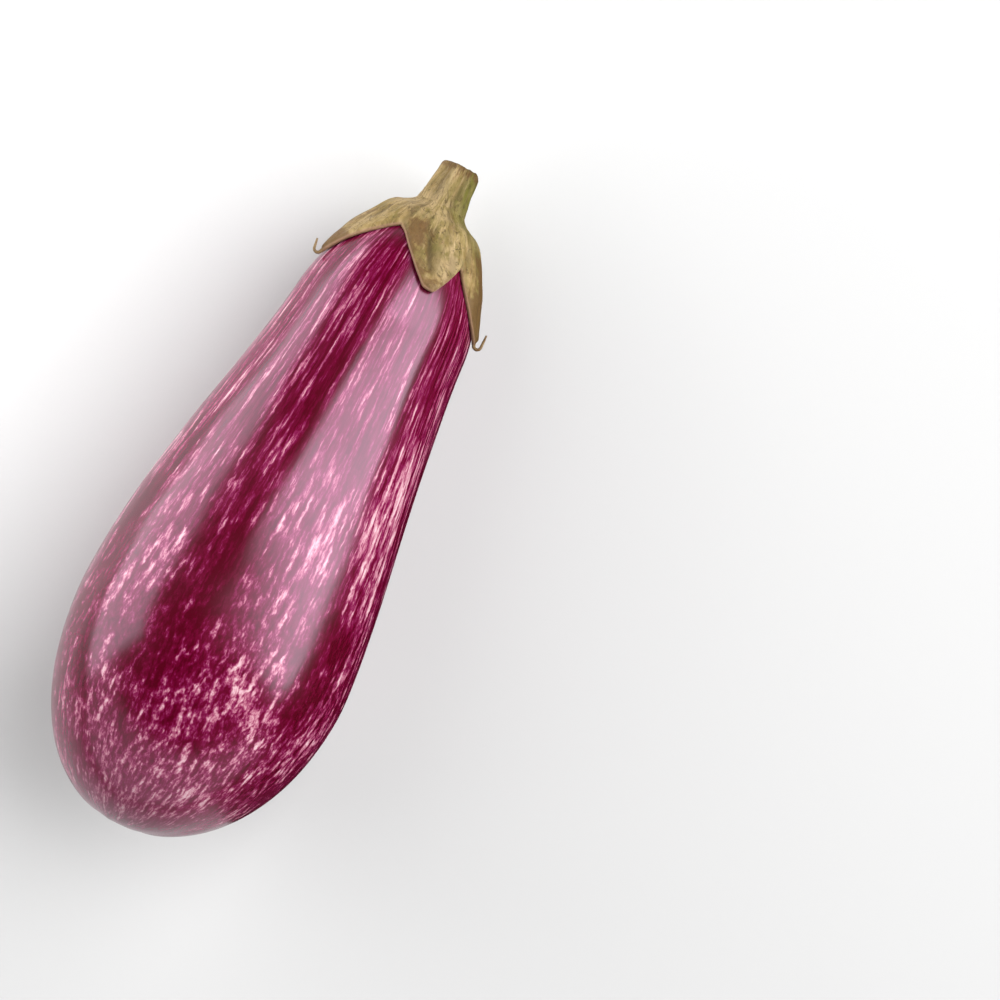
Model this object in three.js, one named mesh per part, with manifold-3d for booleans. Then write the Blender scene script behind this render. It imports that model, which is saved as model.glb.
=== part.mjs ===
// A striped eggplant lying on its side, with its five-lobed calyx and its cut stem.
// Millimetres. The fruit's axis runs from the blossom end towards the stem, near +X, and +Z is up.
import * as THREE from 'three';
import Module from 'manifold-3d';

// Fruit: round sections along the axis, in distances from the blossom end
const FRUIT_LENGTH = 179.5;
const BELLY_RADIUS = 38.2;
const NECK_RADIUS = 23.3;
const BELLY_STATION = 48;
const NECK_STATION = 168;
const BLOSSOM_CAP = { length: 55, power: 2.12 };
const SHOULDER_CAP = { length: 32, power: 1.85 };
const BLOSSOM_DIMPLE = { depth: 1.0, radius: 5 };
const STEM_DIMPLE = { depth: 2.0, radius: 7 };

// The neck's end leaves a straight axis upwards and sideways, and the skin is slightly uneven
const NECK_RISE = 4;
const NECK_SWAY = 0.7;
const SKIN_WAVES = [
  { height: 0.35, around: 1, along: 3, phase: -1.57 },
  { height: 0.35, around: 2, along: 1, phase: 0.6 },
  { height: 0.3, around: 3, along: 2, phase: 2.1 },
  { height: 0.2, around: 5, along: 3, phase: 4.0 },
];

// Rest: the axis droops towards the stem, and the belly is pressed flat where it carries the weight
const DROOP = THREE.MathUtils.degToRad(9.5);
const FLAT_DEPTH = 0.5;
const WEIGHT_STATION = 79.2;

// Calyx: reaches are measured over the skin from the stem end, angles round the axis from the top
const SKIN_GAP = 0.45;
const COLLAR_REACH = 10.5;
const COLLAR_GAP = 0.85;
const BLADE_THICKNESS = 1.35;
const COLLAR_SWELL = { height: 1.25, width: 5 };
const RIM_ROUNDING = 0.6;
const MIDRIB = { height: 0.3, width: 0.16 };
const TIP_THINNING = { depth: 0.6, start: 16, end: 36 };
const STEM_SOCKET = { station: 179.0, radius: 7.6, rimStation: 180.6, rimRadius: 7.8 };

// Each lobe ends at a tip and is parted from the next one by a notch. swell and taper shape its
// sides, with far values where its second side differs. blunt cuts it short of its point, and lift
// raises its end off the skin. Its hook turns up from the tip and then runs straight.
const LOBES = [
  { angle: -72, reach: 34.3, swell: 0.95, taper: 1.1, lift: 0.3, hook: { turn: 150, end: 2.6 },
    notch: { angle: -26.4, reach: 17.3 } },
  { angle: 17.5, reach: 34.9, blunt: 31.7, swell: 0.85, taper: 1.2, lift: 1.0,
    notch: { angle: 41, reach: 21 } },
  { angle: 90, reach: 36.8, swell: 1.7, taper: 0.8, farSwell: 1.1, farTaper: 1.2, lift: 0.2,
    hook: { turn: 165, end: 3.6 }, notch: { angle: 124, reach: 17 } },
  { angle: 156, reach: 31, swell: 1.2, taper: 1.2, lift: 0.2, hook: { turn: 50, end: 1.2 },
    notch: { angle: 188, reach: 16.5 } },
  { angle: 222, reach: 32, swell: 1.2, taper: 1.15, lift: 0.3, hook: { turn: 80, end: 1.5 },
    notch: { angle: 253, reach: 16 } },
];
const HOOK = { root: 2.5, bendRadius: 1.0, radius: 0.55, tipRadius: 0.35 };

// A channel runs down the lobe that faces up: its angle at the middle reach, and its lean for each
// millimetre of reach
const CHANNEL = { depth: 0.55, angle: 7, middle: 21, lean: 1.2, width: 4.5, start: 14, end: 30, fade: 4 };

// Stem: a tapered stalk with lengthwise ribs and a worn cut end
const STEM_START = 179.3;
const STEM_END = 193;
const STEM_BASE_RADIUS = 7.25;
const STEM_TIP_RADIUS = 5.4;
const STEM_EDGE = 1.3;
const STEM_RIBS = { count: 6, height: 0.35, start: 181, fade: 4, twist: 0.05 };
const CUT_DISH = 0.5;

// Facets
const FRUIT_RINGS = 34;
const FRUIT_COLUMNS = 48;
const POLE_DENSITY = 0.45;
const UNDERSIDE_DENSITY = 0.3;
const LOBE_RAYS = 6;
const TIP_DENSITY = 1.5;
const BLADE_RINGS = 9;
const EDGE_DENSITY = 1.25;
const HOOK_STEPS = 12;
const HOOK_SIDES = 6;
const STEM_RINGS = 8;
const STEM_COLUMNS = 36;

const wasm = await Module();
wasm.setup();

// A rounded end: 0 at its tip, 1 from the cap's length onwards
function capFactor(distance, cap) {
  const inward = Math.max(0, 1 - distance / cap.length);
  return (1 - inward ** cap.power) ** (1 / cap.power);
}

function sectionRadius(station) {
  const narrowing = THREE.MathUtils.smoothstep(station, BELLY_STATION, NECK_STATION);
  const barrel = BELLY_RADIUS + (NECK_RADIUS - BELLY_RADIUS) * narrowing;
  return barrel * capFactor(station, BLOSSOM_CAP) * capFactor(FRUIT_LENGTH - station, SHOULDER_CAP);
}

function dimpleDepth(radius, dimple) {
  return dimple.depth * Math.exp(-((radius / dimple.radius) ** 2));
}

// The fruit's outline from the stem end to the blossom end, with the distance travelled over the skin
function traceOutline() {
  const steps = 3000;
  const outline = [];
  let reach = 0;
  for (let i = 0; i <= steps; i++) {
    const plainStation = FRUIT_LENGTH * (1 + Math.cos(Math.PI * i / steps)) / 2;
    const radius = sectionRadius(plainStation);
    const station = i < steps / 2
      ? plainStation - dimpleDepth(radius, STEM_DIMPLE)
      : plainStation + dimpleDepth(radius, BLOSSOM_DIMPLE);
    if (i > 0) {
      const last = outline[i - 1];
      reach += Math.hypot(station - last.station, radius - last.radius);
    }
    outline.push({ reach, station, radius });
  }
  return outline;
}

const OUTLINE = traceOutline();
const TOTAL_REACH = OUTLINE.at(-1).reach;

function outlineAt(reach) {
  let low = 0;
  let high = OUTLINE.length - 1;
  while (high - low > 1) {
    const middle = (low + high) >> 1;
    if (OUTLINE[middle].reach > reach) high = middle;
    else low = middle;
  }
  const from = OUTLINE[low];
  const to = OUTLINE[high];
  const part = THREE.MathUtils.clamp((reach - from.reach) / (to.reach - from.reach), 0, 1);
  return {
    station: THREE.MathUtils.lerp(from.station, to.station, part),
    radius: THREE.MathUtils.lerp(from.radius, to.radius, part),
  };
}

// A point at a radius and angle about the slightly bent axis
function aboutAxis(station, radius, angle) {
  const along = station / FRUIT_LENGTH;
  return new THREE.Vector3(
    station,
    -radius * Math.sin(angle) - NECK_SWAY * along ** 3,
    radius * Math.cos(angle) + NECK_RISE * along ** 2,
  );
}

function skinPoint(reach, angle) {
  const { station, radius } = outlineAt(reach);
  let wave = 0;
  for (const { height, around, along, phase } of SKIN_WAVES) {
    wave += height * Math.cos(around * angle + phase) * Math.sin(Math.PI * along * station / FRUIT_LENGTH);
  }
  return aboutAxis(station, radius + wave, angle);
}

// Directions on the skin: along it away from the stem, and straight out of it
function skinFrame(reach, angle) {
  const step = 0.01;
  const along = skinPoint(reach + step, angle).sub(skinPoint(reach - step, angle)).normalize();
  const around = skinPoint(reach, angle + step).sub(skinPoint(reach, angle - step)).normalize();
  return { along, out: new THREE.Vector3().crossVectors(along, around).normalize() };
}

// One closed mesh from rings of equal length, a point at each end, and the faces turned outwards
function closeRings(firstPoint, rings, lastPoint) {
  const columns = rings[0].length;
  const points = [firstPoint, ...rings.flat(), lastPoint];
  const at = (ring, column) => 1 + ring * columns + column % columns;
  const faces = [];
  for (let c = 0; c < columns; c++) {
    faces.push(0, at(0, c), at(0, c + 1));
    for (let r = 0; r + 1 < rings.length; r++) {
      faces.push(at(r, c), at(r + 1, c), at(r + 1, c + 1));
      faces.push(at(r, c), at(r + 1, c + 1), at(r, c + 1));
    }
    faces.push(at(rings.length - 1, c), points.length - 1, at(rings.length - 1, c + 1));
  }
  const geometry = new THREE.BufferGeometry().setFromPoints(points);
  geometry.setIndex(faces);
  geometry.computeVertexNormals();
  return geometry;
}

// The floor in the fruit's own frame: a plane that leans by the droop
const FLOOR_UP = new THREE.Vector3(-Math.sin(DROOP), 0, Math.cos(DROOP));

function fruitRing(ring) {
  const part = ring / FRUIT_RINGS;
  const reach = TOTAL_REACH * (part - POLE_DENSITY * Math.sin(2 * Math.PI * part) / (2 * Math.PI));
  const points = [];
  for (let column = 0; column < FRUIT_COLUMNS; column++) {
    const angle = 2 * Math.PI * (column + 0.5) / FRUIT_COLUMNS;
    points.push(skinPoint(reach, angle + UNDERSIDE_DENSITY * Math.sin(angle)));
  }
  return points;
}

const fruitRings = [];
for (let ring = 1; ring < FRUIT_RINGS; ring++) fruitRings.push(fruitRing(ring));
const LOWEST = Math.min(...fruitRings.flat().map((point) => point.dot(FLOOR_UP)));
const FLOOR_LEVEL = LOWEST + FLAT_DEPTH;

// Skin that would pass through the floor lies flat on it
function pressFlat(point) {
  const depth = FLOOR_LEVEL - point.dot(FLOOR_UP);
  if (depth > 0) point.addScaledVector(FLOOR_UP, depth);
}

function makeFruit() {
  fruitRings.flat().forEach(pressFlat);
  return closeRings(skinPoint(0, 0), fruitRings, skinPoint(TOTAL_REACH, 0));
}

// The rays that the calyx is built on, closest together at each lobe's tip
function calyxRays() {
  const rays = [];
  LOBES.forEach((lobe, index) => {
    const before = LOBES.at(index - 1).notch;
    const turn = index === 0 ? 360 : 0;
    const sides = [
      { angle: before.angle - turn, reach: before.reach, from: LOBE_RAYS, to: 1,
        swell: lobe.swell, taper: lobe.taper },
      { angle: lobe.notch.angle, reach: lobe.notch.reach, from: 0, to: LOBE_RAYS - 1,
        swell: lobe.farSwell ?? lobe.swell, taper: lobe.farTaper ?? lobe.taper },
    ];
    for (const side of sides) {
      const step = Math.sign(side.to - side.from);
      for (let i = side.from; i !== side.to + step; i += step) {
        const aside = (i / LOBE_RAYS) ** TIP_DENSITY;
        const point = (1 - aside ** side.swell) ** side.taper;
        const edge = THREE.MathUtils.lerp(side.reach, lobe.reach, point);
        rays.push({
          lobe,
          aside,
          degrees: THREE.MathUtils.lerp(lobe.angle, side.angle, aside),
          edge: Math.min(edge, lobe.blunt ?? edge),
        });
      }
    }
  });
  return rays;
}

// 1 between a start and an end, fading to 0 just inside them
function window01(value, { start, end, fade }) {
  const rise = THREE.MathUtils.smoothstep(value, start, start + fade);
  return rise * (1 - THREE.MathUtils.smoothstep(value, end - fade, end));
}

function bladeThickness(ray, reach) {
  const collar = COLLAR_SWELL.height * Math.exp(-(((reach - COLLAR_REACH) / COLLAR_SWELL.width) ** 2));
  const rib = MIDRIB.height * Math.exp(-((ray.aside / MIDRIB.width) ** 2));
  const channelAngle = CHANNEL.angle + CHANNEL.lean * (reach - CHANNEL.middle);
  const across = Math.exp(-(((ray.degrees - channelAngle) / CHANNEL.width) ** 2));
  const thinning = THREE.MathUtils.smoothstep(reach, TIP_THINNING.start, TIP_THINNING.end);
  return BLADE_THICKNESS + collar + rib
    - TIP_THINNING.depth * thinning - CHANNEL.depth * across * window01(reach, CHANNEL);
}

// A point at a height over the skin
function raisedPoint(reach, degrees, height) {
  const angle = THREE.MathUtils.degToRad(degrees);
  return skinPoint(reach, angle).addScaledVector(skinFrame(reach, angle).out, height);
}

// A thin tapered spine that leaves a lobe's tip, turns up off the skin and runs on
function makeHook(lobe) {
  const foot = lobe.reach - HOOK.root;
  const { along, out } = skinFrame(foot, THREE.MathUtils.degToRad(lobe.angle));
  const across = new THREE.Vector3().crossVectors(along, out);
  const turn = THREE.MathUtils.degToRad(lobe.hook.turn);
  const bendLength = HOOK.bendRadius * turn;
  const step = (HOOK.root + bendLength + lobe.hook.end) / HOOK_STEPS;
  const centre = raisedPoint(foot, lobe.angle, SKIN_GAP + lobe.lift + BLADE_THICKNESS / 3);
  const first = centre.clone();
  const rings = [];
  for (let i = 0; i <= HOOK_STEPS; i++) {
    const bend = turn * THREE.MathUtils.clamp((i * step - HOOK.root) / bendLength, 0, 1);
    const upright = out.clone().multiplyScalar(Math.cos(bend)).addScaledVector(along, -Math.sin(bend));
    const radius = THREE.MathUtils.lerp(HOOK.radius, HOOK.tipRadius, i / HOOK_STEPS);
    const ring = [];
    for (let side = 0; side < HOOK_SIDES; side++) {
      const angle = 2 * Math.PI * side / HOOK_SIDES;
      ring.push(centre.clone()
        .addScaledVector(across, radius * Math.cos(angle))
        .addScaledVector(upright, radius * Math.sin(angle)));
    }
    rings.push(ring);
    if (i < HOOK_STEPS) {
      centre.addScaledVector(along, step * Math.cos(bend)).addScaledVector(out, step * Math.sin(bend));
    }
  }
  return closeRings(first, rings, centre);
}

function toSolid(geometry) {
  const vertProperties = geometry.getAttribute('position').array;
  const triVerts = Uint32Array.from(geometry.index.array);
  return new wasm.Manifold(new wasm.Mesh({ numProp: 3, vertProperties, triVerts }));
}

function toGeometry(solid) {
  const { vertProperties, triVerts } = solid.getMesh();
  const geometry = new THREE.BufferGeometry();
  geometry.setAttribute('position', new THREE.BufferAttribute(vertProperties, 3));
  geometry.setIndex(new THREE.BufferAttribute(triVerts, 1));
  geometry.computeVertexNormals();
  return geometry;
}

function makeCalyx() {
  const rays = calyxRays();
  const bladeReach = (ray, ring) => {
    const part = 1 - (1 - ring / BLADE_RINGS) ** EDGE_DENSITY;
    return THREE.MathUtils.lerp(COLLAR_REACH, ray.edge, part);
  };
  const bladeGap = (ray, ring) => SKIN_GAP + ray.lobe.lift * (ring / BLADE_RINGS) ** 3 * (1 - ray.aside);
  const socketRing = (station, radius) => rays.map(
    (ray) => aboutAxis(station, radius, THREE.MathUtils.degToRad(ray.degrees)),
  );

  const top = [
    socketRing(STEM_SOCKET.station, STEM_SOCKET.radius),
    socketRing(STEM_SOCKET.rimStation, STEM_SOCKET.rimRadius),
  ];
  const bottom = [];
  for (let ring = 0; ring <= BLADE_RINGS; ring++) {
    const rounding = ring === BLADE_RINGS ? RIM_ROUNDING : 1;
    top.push(rays.map((ray) => {
      const reach = bladeReach(ray, ring);
      const thickness = rounding * bladeThickness(ray, reach);
      return raisedPoint(reach, ray.degrees, bladeGap(ray, ring) + thickness);
    }));
    bottom.push(rays.map((ray) => raisedPoint(bladeReach(ray, ring), ray.degrees, bladeGap(ray, ring))));
  }
  const underCollar = rays.map((ray) => raisedPoint(COLLAR_REACH / 2, ray.degrees, COLLAR_GAP));
  const topPole = aboutAxis(STEM_SOCKET.station, 0, 0);
  const bottomPole = aboutAxis(outlineAt(0).station + COLLAR_GAP, 0, 0);
  const cap = closeRings(topPole, [...top, ...bottom.reverse(), underCollar], bottomPole);
  const hooks = LOBES.filter((lobe) => lobe.hook).map((lobe) => toSolid(makeHook(lobe)));
  return toGeometry(hooks.reduce((solid, hook) => solid.add(hook), toSolid(cap)));
}

function stemRing(station, radius) {
  const points = [];
  const ribbed = THREE.MathUtils.smoothstep(station, STEM_RIBS.start, STEM_RIBS.start + STEM_RIBS.fade);
  for (let column = 0; column < STEM_COLUMNS; column++) {
    const angle = 2 * Math.PI * column / STEM_COLUMNS;
    const turn = STEM_RIBS.count * angle + STEM_RIBS.twist * (station - STEM_START);
    const rib = STEM_RIBS.height * ribbed * Math.cos(turn) * radius / STEM_BASE_RADIUS;
    points.push(aboutAxis(station, radius + rib, angle));
  }
  return points;
}

function makeStem() {
  const edgeStart = STEM_END - STEM_EDGE;
  const rings = [];
  for (let ring = 0; ring <= STEM_RINGS; ring++) {
    const part = ring / STEM_RINGS;
    const station = THREE.MathUtils.lerp(STEM_START, edgeStart, part);
    rings.push(stemRing(station, THREE.MathUtils.lerp(STEM_BASE_RADIUS, STEM_TIP_RADIUS, part)));
  }
  for (const turn of [Math.PI / 4, Math.PI / 2]) {
    const inset = STEM_EDGE * (1 - Math.cos(turn));
    rings.push(stemRing(edgeStart + STEM_EDGE * Math.sin(turn), STEM_TIP_RADIUS - inset));
  }
  rings.push(stemRing(STEM_END - CUT_DISH, (STEM_TIP_RADIUS - STEM_EDGE) / 2));
  rings.reverse();
  return closeRings(aboutAxis(STEM_END - CUT_DISH, 0, 0), rings, aboutAxis(STEM_START, 0, 0));
}

function makePiece(name, geometry, color, roughness) {
  const material = new THREE.MeshStandardMaterial({ color, roughness, metalness: 0 });
  const piece = new THREE.Mesh(geometry, material);
  piece.name = name;
  return piece;
}

// The origin is on the floor, in the rest spot below the centre of mass
const lying = new THREE.Group();
lying.rotation.y = DROOP;
lying.position.set(-WEIGHT_STATION * Math.cos(DROOP), 0, -FLOOR_LEVEL);
lying.add(
  makePiece('fruit', makeFruit(), 0x86305a, 0.25),
  makePiece('calyx', makeCalyx(), 0xa3955a, 0.7),
  makePiece('stem', makeStem(), 0x9a9450, 0.65),
);

const eggplant = new THREE.Group();
eggplant.add(lying);

export default eggplant;
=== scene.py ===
"""A striped eggplant lying on its side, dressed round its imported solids.

The shapes are worked out in millimetres in the fruit's own frame, X from the blossom end to the
stem and Z upwards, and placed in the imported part's frame, in metres.
"""

import math

import bpy
import numpy as np
from mathutils import Matrix, Vector


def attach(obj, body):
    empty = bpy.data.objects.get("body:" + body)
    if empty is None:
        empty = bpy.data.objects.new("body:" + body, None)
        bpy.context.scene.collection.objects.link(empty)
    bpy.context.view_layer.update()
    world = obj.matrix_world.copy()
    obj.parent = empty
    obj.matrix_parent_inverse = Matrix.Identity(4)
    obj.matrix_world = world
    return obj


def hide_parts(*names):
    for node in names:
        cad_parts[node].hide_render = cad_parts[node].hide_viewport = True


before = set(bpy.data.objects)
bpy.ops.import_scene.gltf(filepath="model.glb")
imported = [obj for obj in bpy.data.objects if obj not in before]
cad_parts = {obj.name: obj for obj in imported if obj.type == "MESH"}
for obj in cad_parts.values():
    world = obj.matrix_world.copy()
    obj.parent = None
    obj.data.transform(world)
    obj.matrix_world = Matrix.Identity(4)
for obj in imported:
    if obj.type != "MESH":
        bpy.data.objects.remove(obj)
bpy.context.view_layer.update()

MM = 0.001

# Fruit: round sections along the axis, in distances from the blossom end
FRUIT_LENGTH = 179.5
BELLY_RADIUS = 38.2
NECK_RADIUS = 23.3
BELLY_STATION = 48
NECK_STATION = 168
BLOSSOM_CAP = {"length": 55, "power": 2.12}
SHOULDER_CAP = {"length": 32, "power": 1.85}
BLOSSOM_DIMPLE = {"depth": 1.0, "radius": 5}
STEM_DIMPLE = {"depth": 2.0, "radius": 7}
NECK_RISE = 4
NECK_SWAY = 0.7
SKIN_WAVES = [
    {"height": 0.35, "around": 1, "along": 3, "phase": -1.57},
    {"height": 0.35, "around": 2, "along": 1, "phase": 0.6},
    {"height": 0.3, "around": 3, "along": 2, "phase": 2.1},
    {"height": 0.2, "around": 5, "along": 3, "phase": 4.0},
]
UNEVENNESS = {"height": 0.05, "radius": 30, "across": 9, "along": 22, "waves": 24}
FLUTES = {"count": 11, "phase": 1.3, "height": 0.08, "start": 70, "full": 165, "fade": 20}
DROOP = math.radians(9.5)
FLAT_DEPTH = 0.5
UNDERSIDE = (2.6, 3.7)
WEIGHT_STATION = 79.2
SKIN_RING_CROWDING = 0.35

# Pale dashes on the skin: long and close together on the neck, short and wider apart on the belly
DASH_LENGTH = {"belly": 3.8, "neck": 15.0, "start": 48, "end": 125}
DASH_CROWDING = {"belly": 0.76, "neck": 0.86, "start": 50, "end": 140}

# Calyx: reaches over the skin from the stem end, angles in degrees round the axis from the top
SKIN_GAP = 0.15
COLLAR_REACH = 10.5
BLADE_THICKNESS = 1.55
RIM = {"thickness": 0.85, "width": 1.6, "rounding": 0.5, "edge_share": 0.45}
COLLAR_SWELL = {"height": 1.25, "width": 5}
MIDRIB = {"height": 0.35, "width": 0.14}
TIP_THINNING = {"depth": 0.6, "start": 16, "end": 36}
CREASE_RADIUS = 16
CREASES = {"height": 0.09, "across": 1.5, "along": 9, "waves": 30, "seed": 21, "shade": 0.35 / 0.09}
DENTS = {"height": 0.10, "across": 4, "along": 5, "waves": 30, "seed": 22, "shade": 0.2 / 0.10}
RAGGED_EDGE = {"height": 0.12, "across": 9, "along": 1, "waves": 20, "seed": 11}
LOBE_RAY_CROWDING = 1.3
BLUNTING = {"softness": 0.9, "gain": 0.35}
BLADE_RING_CROWDING = 1.7
CHANNEL = {"depth": 0.75, "angle": 7, "middle": 21, "lean": 1.2, "width": 4.5, "start": 14,
           "end": 30, "fade": 4, "shade": 1.25, "shade_width": 3.4, "shade_start": 15}
LOBES = [
    {"angle": -72, "reach": 34.3, "swell": 0.95, "taper": 1.1, "lift": 0.3,
     "hook": {"turn": 150, "end": 2.6}, "notch": {"angle": -26.4, "reach": 17.3}},
    {"angle": 17.5, "reach": 34.9, "blunt": 31.7, "swell": 0.85, "taper": 1.2, "lift": 1.0,
     "notch": {"angle": 41, "reach": 21}},
    {"angle": 90, "reach": 36.8, "swell": 1.7, "taper": 0.8, "far_swell": 1.1, "far_taper": 1.2,
     "lift": 0.2, "hook": {"turn": 165, "end": 3.6}, "notch": {"angle": 124, "reach": 17}},
    {"angle": 156, "reach": 31, "swell": 1.2, "taper": 1.2, "lift": 0.2,
     "hook": {"turn": 50, "end": 1.2}, "notch": {"angle": 188, "reach": 16.5}},
    {"angle": 222, "reach": 32, "swell": 1.2, "taper": 1.15, "lift": 0.3,
     "hook": {"turn": 80, "end": 1.5}, "notch": {"angle": 253, "reach": 16}},
]
HOOK = {"root": 3.0, "bend_radius": 1.0, "radius": 0.55, "tip_radius": 0.25}
# Even values of the tissue's looks along the hooks, among them an even painted shade
HOOK_LOOK = {"rim": 0.3, "cut": 0, "painted_shade": 0.4, "worn_and_shade": 0.3, "pale": 0.2, "green_and_shade": 0.2}
COLLAR_TOP = {"station": 184.2, "radius": 6.4, "reach": 2.0}
COLLAR_RINGS = 13
COLLAR_RISE = 0.62
COLLAR_HOLLOW = 1.9
FAR_FROM_EDGE = 9

# Stem: a tapered stalk with lengthwise ribs, a flare that grows out of the calyx and a cut end
STEM_START = 179.3
STEM_END = 193
STEM_BASE_RADIUS = 7.25
STEM_TIP_RADIUS = 5.4
STEM_EDGE = 1.3
STEM_RIBS = {"count": 6, "height": 0.35, "start": 181, "fade": 4, "twist": 0.05, "shade": 0.55}
CUT_DISH = 0.5
STEM_FIBRE_RADIUS = 6
STEM_FIBRES = {"height": 0.09, "across": 0.7, "along": 8, "waves": 30, "seed": 31, "shade": 3}
STEM_DENTS = {"height": 0.10, "across": 2.5, "along": 3, "waves": 24, "seed": 32}
CUT_ROUGHNESS = {"height": 0.12, "across": 1.1, "along": 1.1, "waves": 30, "seed": 33}

# Tissue of the calyx and the stem: its patterns are wound on a tube of this radius, and the stem
# counts on from the collar's reach at this station
TISSUE_RADIUS = 14
COLLAR_STATION = 178
PALE_COLLAR = {"amount": 0.7, "reach": 9, "width": 5}
LOBE_ROOTS = (12, 17)
# The tissue turns dark green towards the right side, partly its own colour and partly a painted
# shade of that side
GREEN_AND_SHADE_ANGLE = 1.5
GREEN_AND_SHADE = {"least": 0.12, "stem": 0.83, "lobes": 0.50, "start": 3, "end": 15}
WORN_TIPS = {"amount": 0.55, "start": 24, "end": 31}
WORN_STEM_END = {"amount": 0.45, "start": 189.5, "end": 192}

# Camera: pixels of the 1000 pixel square picture, and the real size of one where the fruit lies
PICTURE = 1000
LENS = 85
SENSOR = 36
PIXEL_MM = 0.2629
AIM_STATION = 96.5
AIM_PIXEL = (289.6, 494.3)
AXIS_LEAN = math.radians(27.45)

AXIS = Vector((math.cos(DROOP), 0, -math.sin(DROOP)))
ABOVE = Vector((math.sin(DROOP), 0, math.cos(DROOP)))
RIGHT = Vector((0, -1, 0))


def smooth(value, low, high):
    """0 at low, 1 at high, with a soft start and end."""
    part = np.clip((value - low) / (high - low), 0, 1)
    return part * part * (3 - 2 * part)


def between(value, start, end, fade):
    """1 between start and end and 0 outside, with soft ends of the given length inside them."""
    return smooth(value, start, start + fade) * (1 - smooth(value, end - fade, end))


def lerp(a, b, part):
    return a + (b - a) * part


def bell(value, width):
    return np.exp(-((value / width) ** 2))


def signed_turn(degrees):
    """The same turn as an angle from -180 to 180."""
    return (degrees + 180) % 360 - 180


def cap_factor(distance, cap):
    inward = np.clip(1 - distance / cap["length"], 0, 1)
    return (1 - inward ** cap["power"]) ** (1 / cap["power"])


def trace_outline(steps=6000):
    """Reach over the skin, station and radius, from the stem end to the blossom end."""
    station = FRUIT_LENGTH * (1 + np.cos(np.pi * np.arange(steps + 1) / steps)) / 2
    narrowing = smooth(station, BELLY_STATION, NECK_STATION)
    radius = lerp(BELLY_RADIUS, NECK_RADIUS, narrowing)
    radius = radius * cap_factor(station, BLOSSOM_CAP)
    radius = radius * cap_factor(FRUIT_LENGTH - station, SHOULDER_CAP)
    stem_side = station > FRUIT_LENGTH / 2
    stem_dimple = STEM_DIMPLE["depth"] * bell(radius, STEM_DIMPLE["radius"])
    blossom_dimple = BLOSSOM_DIMPLE["depth"] * bell(radius, BLOSSOM_DIMPLE["radius"])
    station = station + np.where(stem_side, -stem_dimple, blossom_dimple)
    steps_taken = np.hypot(np.diff(station), np.diff(radius))
    reach = np.concatenate([[0], np.cumsum(steps_taken)])
    return reach, station, radius


OUTLINE_REACH, OUTLINE_STATION, OUTLINE_RADIUS = trace_outline()
TOTAL_REACH = OUTLINE_REACH[-1]


def station_at(reach):
    return np.interp(reach, OUTLINE_REACH, OUTLINE_STATION)


def about_axis(station, radius, angle):
    """Points at a radius and angle about the slightly bent axis."""
    along = station / FRUIT_LENGTH
    return np.stack(np.broadcast_arrays(
        station,
        -radius * np.sin(angle) - NECK_SWAY * along ** 3,
        radius * np.cos(angle) + NECK_RISE * along ** 2,
    ), axis=-1)


def skin_point(reach, angle):
    station = station_at(reach)
    radius = np.interp(reach, OUTLINE_REACH, OUTLINE_RADIUS)
    for wave in SKIN_WAVES:
        around = np.cos(wave["around"] * angle + wave["phase"])
        along = np.sin(np.pi * wave["along"] * station / FRUIT_LENGTH)
        radius = radius + wave["height"] * around * along
    return about_axis(station, radius, angle)


def unit(vectors):
    return vectors / np.linalg.norm(vectors, axis=-1, keepdims=True)


def skin_frame(reach, angle, step=0.02):
    """Directions on the skin: along it away from the stem, and straight out of it."""
    along = unit(skin_point(reach + step, angle) - skin_point(reach - step, angle))
    around = unit(skin_point(reach, angle + step) - skin_point(reach, angle - step))
    return along, unit(np.cross(along, around))


def raised_point(reach, angle, height):
    _, out = skin_frame(reach, angle)
    return skin_point(reach, angle) + out * np.asarray(height)[..., None]


def ripples(across, along, across_size, along_size, count, seed):
    """Smooth uneven waves of about unit height, with features of the two given sizes."""
    draw = np.random.default_rng(seed)
    total = 0
    for _ in range(count):
        direction = draw.normal(size=2)
        phase = draw.uniform(0, 2 * np.pi)
        turn = direction[0] * across / across_size + direction[1] * along / along_size
        total = total + np.cos(2 * turn + phase)
    return total / math.sqrt(count / 2)


def relief(across, along, form):
    """The height of a fine relief of the skin, the calyx or the stem."""
    return form["height"] * ripples(
        across, along, form["across"], form["along"], form["waves"], form["seed"])


FLOOR_UP = np.array([-math.sin(DROOP), 0, math.cos(DROOP)])


def find_floor():
    """The floor's height in the fruit's own frame, from the lowest point of the underside."""
    reach, angle = np.meshgrid(np.linspace(0, TOTAL_REACH, 400), np.linspace(*UNDERSIDE, 120))
    return (skin_point(reach, angle) @ FLOOR_UP).min() + FLAT_DEPTH


FLOOR_LEVEL = find_floor()


def press_flat(points):
    """Skin that would pass through the floor lies flat on it."""
    depth = np.clip(FLOOR_LEVEL - points @ FLOOR_UP, 0, None)
    return points + depth[..., None] * FLOOR_UP


def place(points):
    """From the fruit's own frame in millimetres to the part's frame in metres."""
    turn = np.array([AXIS, -RIGHT, ABOVE])
    shift = np.array([-WEIGHT_STATION * math.cos(DROOP), 0, -FLOOR_LEVEL])
    return (points @ turn + shift) * MM


def aim_point():
    """The point on the axis that the camera looks at and the lights stand round."""
    return Vector(place(about_axis(AIM_STATION, 0.0, 0.0)))


def closed_rings(first, rings, last):
    """Vertices and faces of a closed body from rings of equal length and a point at each end."""
    count, columns = rings.shape[:2]
    vertices = np.concatenate([[first], rings.reshape(-1, 3), [last]])
    ring, column = np.meshgrid(np.arange(count - 1), np.arange(columns), indexing="ij")
    here = 1 + ring * columns + column
    beside = 1 + ring * columns + (column + 1) % columns
    quads = np.stack([here, here + columns, beside + columns, beside], axis=-1).reshape(-1, 4)
    edge = np.arange(columns)
    next_edge = (edge + 1) % columns
    final = len(vertices) - 1
    base = 1 + (count - 1) * columns
    fans = [(0, 1 + a, 1 + b) for a, b in zip(edge, next_edge)]
    fans += [(base + a, final, base + b) for a, b in zip(edge, next_edge)]
    return vertices, quads.tolist() + fans


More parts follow.
